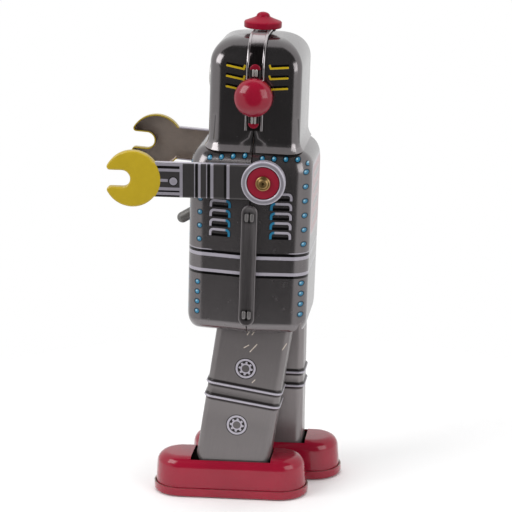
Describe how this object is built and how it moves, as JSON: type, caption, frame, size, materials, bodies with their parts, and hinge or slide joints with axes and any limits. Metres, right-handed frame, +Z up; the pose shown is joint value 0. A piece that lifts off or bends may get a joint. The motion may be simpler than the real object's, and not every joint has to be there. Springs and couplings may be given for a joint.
{
  "type": "wind up tin toy",
  "caption": "Clockwork walking tin robot: drawn tin body and head, open claw arms on pivots, sliding-step legs on roller feet, side winding key and a start lever in the chest.",
  "frame": {"origin": "the middle of the bounding box's underside, on the floor that the soles stand on", "axes": "+Z up, -Y the way the robot walks and points its arms, +X to the robot's left"},
  "size_m": [0.078, 0.0899, 0.197],
  "materials": {
    "brass": "plain brass, satin",
    "bright_tin": "bare bright tinplate",
    "grey_enamel": "grey enamel, satin",
    "gunmetal": "dark grey metallic lithographed tinplate, glossy",
    "leg_grey": "grey metallic lithographed tinplate, glossy",
    "red": "cherry red lithographed tinplate, glossy",
    "spring_steel": "blued spring steel",
    "steel": "bare steel, satin",
    "yellow": "mustard yellow lithographed tinplate with dark grey print"
  },
  "bodies": {
    "trunk": {"body_front_shell": "gunmetal", "body_rear_shell": "gunmetal", "crown_cap": "red", "head_band": "bright_tin", "head_front_shell": "gunmetal", "head_rear_shell": "gunmetal", "hip_axle": "steel", "left_ear_bar": "red", "left_ear_dome": "red", "left_motor_plate": "steel", "left_seam_strip": "gunmetal", "left_shoulder_bush": "steel", "left_shoulder_rivet": "brass", "lever_pillar": "steel", "lower_pillar": "steel", "mainspring": "spring_steel", "neck_cup": "bright_tin", "right_ear_bar": "red", "right_ear_dome": "red", "right_motor_plate": "steel", "right_seam_strip": "gunmetal", "right_shoulder_bush": "steel", "right_shoulder_rivet": "brass", "spring_post": "steel", "upper_pillar": "steel"},
    "winding": {"winding_arbor": "steel", "winding_key": "steel"},
    "great_wheel_group": {"great_wheel": "brass", "click": "spring_steel"},
    "second_wheel_group": {"second_wheel": "brass"},
    "crankshaft": {"crank_axle": "steel", "left_crank": "steel", "right_crank": "steel"},
    "governor": {"governor_wheel": "brass"},
    "pallet": {"governor_pallet": "steel"},
    "lever": {"start_lever": "grey_enamel"},
    "left_arm_group": {"left_arm": "yellow"},
    "right_arm_group": {"right_arm": "yellow"},
    "left_leg": {"left_leg_outer": "leg_grey", "left_leg_inner": "leg_grey", "left_leg_lever": "steel"},
    "left_foot": {"left_foot_shell": "red", "left_sole_tray": "red", "left_ankle_pin": "steel"},
    "left_front_roller_group": {"left_front_roller": "steel"},
    "left_rear_roller_group": {"left_rear_roller": "steel"},
    "right_leg": {"right_leg_outer": "leg_grey", "right_leg_inner": "leg_grey", "right_leg_lever": "steel"},
    "right_foot": {"right_foot_shell": "red", "right_sole_tray": "red", "right_ankle_pin": "steel"},
    "right_front_roller_group": {"right_front_roller": "steel"},
    "right_rear_roller_group": {"right_rear_roller": "steel"}
  },
  "joints": [
    {"name": "key_winding", "type": "hinge", "parent": "trunk", "child": "winding", "pos_m": [0.00655, 0.00416, 0.10637], "axis": [1, 0, 0], "continuous": true},
    {"name": "great_wheel_spin", "type": "hinge", "parent": "trunk", "child": "great_wheel_group", "pos_m": [0.00655, 0.00416, 0.10637], "axis": [1, 0, 0], "continuous": true},
    {"name": "second_wheel_spin", "type": "hinge", "parent": "trunk", "child": "second_wheel_group", "pos_m": [0.00655, 0.0154, 0.12043], "axis": [1, 0, 0], "continuous": true},
    {"name": "crank_spin", "type": "hinge", "parent": "trunk", "child": "crankshaft", "pos_m": [0.00655, 0.02471, 0.10773], "axis": [1, 0, 0], "continuous": true},
    {"name": "governor_spin", "type": "hinge", "parent": "trunk", "child": "governor", "pos_m": [0.00655, 0.00466, 0.1309], "axis": [1, 0, 0], "continuous": true},
    {"name": "pallet_rock", "type": "hinge", "parent": "trunk", "child": "pallet", "pos_m": [0.00655, 0.01266, 0.13065], "axis": [1, 0, 0], "range_deg": [-4, 4]},
    {"name": "start_lever_lift", "type": "hinge", "parent": "trunk", "child": "lever", "pos_m": [0.00655, -0.00542, 0.11988], "axis": [-1, 0, 0], "range_deg": [0, 18]},
    {"name": "left_shoulder", "type": "hinge", "parent": "trunk", "child": "left_arm_group", "pos_m": [0.00655, 0.01747, 0.13367], "axis": [-1, 0, 0], "range_deg": [-80, 50]},
    {"name": "right_shoulder", "type": "hinge", "parent": "trunk", "child": "right_arm_group", "pos_m": [0.00655, 0.01747, 0.13367], "axis": [-1, 0, 0], "range_deg": [-44, 48]},
    {"name": "left_hip", "type": "hinge", "parent": "trunk", "child": "left_leg", "pos_m": [0.00655, 0.01568, 0.091], "axis": [-1, 0, 0], "range_deg": [-9.2, 0.9]},
    {"name": "right_hip", "type": "hinge", "parent": "trunk", "child": "right_leg", "pos_m": [0.00655, 0.01568, 0.091], "axis": [-1, 0, 0], "range_deg": [-0.9, 9.2]},
    {"name": "left_ankle", "type": "hinge", "parent": "left_leg", "child": "left_foot", "pos_m": [0.00655, 0.00303, 0.012], "axis": [-1, 0, 0], "range_deg": [-0.9, 9.2]},
    {"name": "right_ankle", "type": "hinge", "parent": "right_leg", "child": "right_foot", "pos_m": [0.00655, 0.01458, 0.012], "axis": [-1, 0, 0], "range_deg": [-9.2, 0.9]},
    {"name": "left_front_roller_spin", "type": "hinge", "parent": "left_foot", "child": "left_front_roller_group", "pos_m": [0.00655, -0.01887, 0.0042], "axis": [1, 0, 0], "continuous": true},
    {"name": "left_rear_roller_spin", "type": "hinge", "parent": "left_foot", "child": "left_rear_roller_group", "pos_m": [0.00655, 0.02313, 0.0042], "axis": [1, 0, 0], "continuous": true},
    {"name": "right_front_roller_spin", "type": "hinge", "parent": "right_foot", "child": "right_front_roller_group", "pos_m": [0.00655, -0.00732, 0.0042], "axis": [1, 0, 0], "continuous": true},
    {"name": "right_rear_roller_spin", "type": "hinge", "parent": "right_foot", "child": "right_rear_roller_group", "pos_m": [0.00655, 0.03468, 0.0042], "axis": [1, 0, 0], "continuous": true}
  ],
  "couplings": [
    {"joint": "second_wheel_spin", "follows": "crank_spin", "ratio": -0.4},
    {"joint": "great_wheel_spin", "follows": "crank_spin", "ratio": 0.13333},
    {"joint": "governor_spin", "follows": "crank_spin", "ratio": 1.2},
    {"joint": "right_hip", "follows": "left_hip", "ratio": -1},
    {"joint": "left_ankle", "follows": "left_hip", "ratio": -1},
    {"joint": "right_ankle", "follows": "left_hip", "ratio": 1}
  ]
}
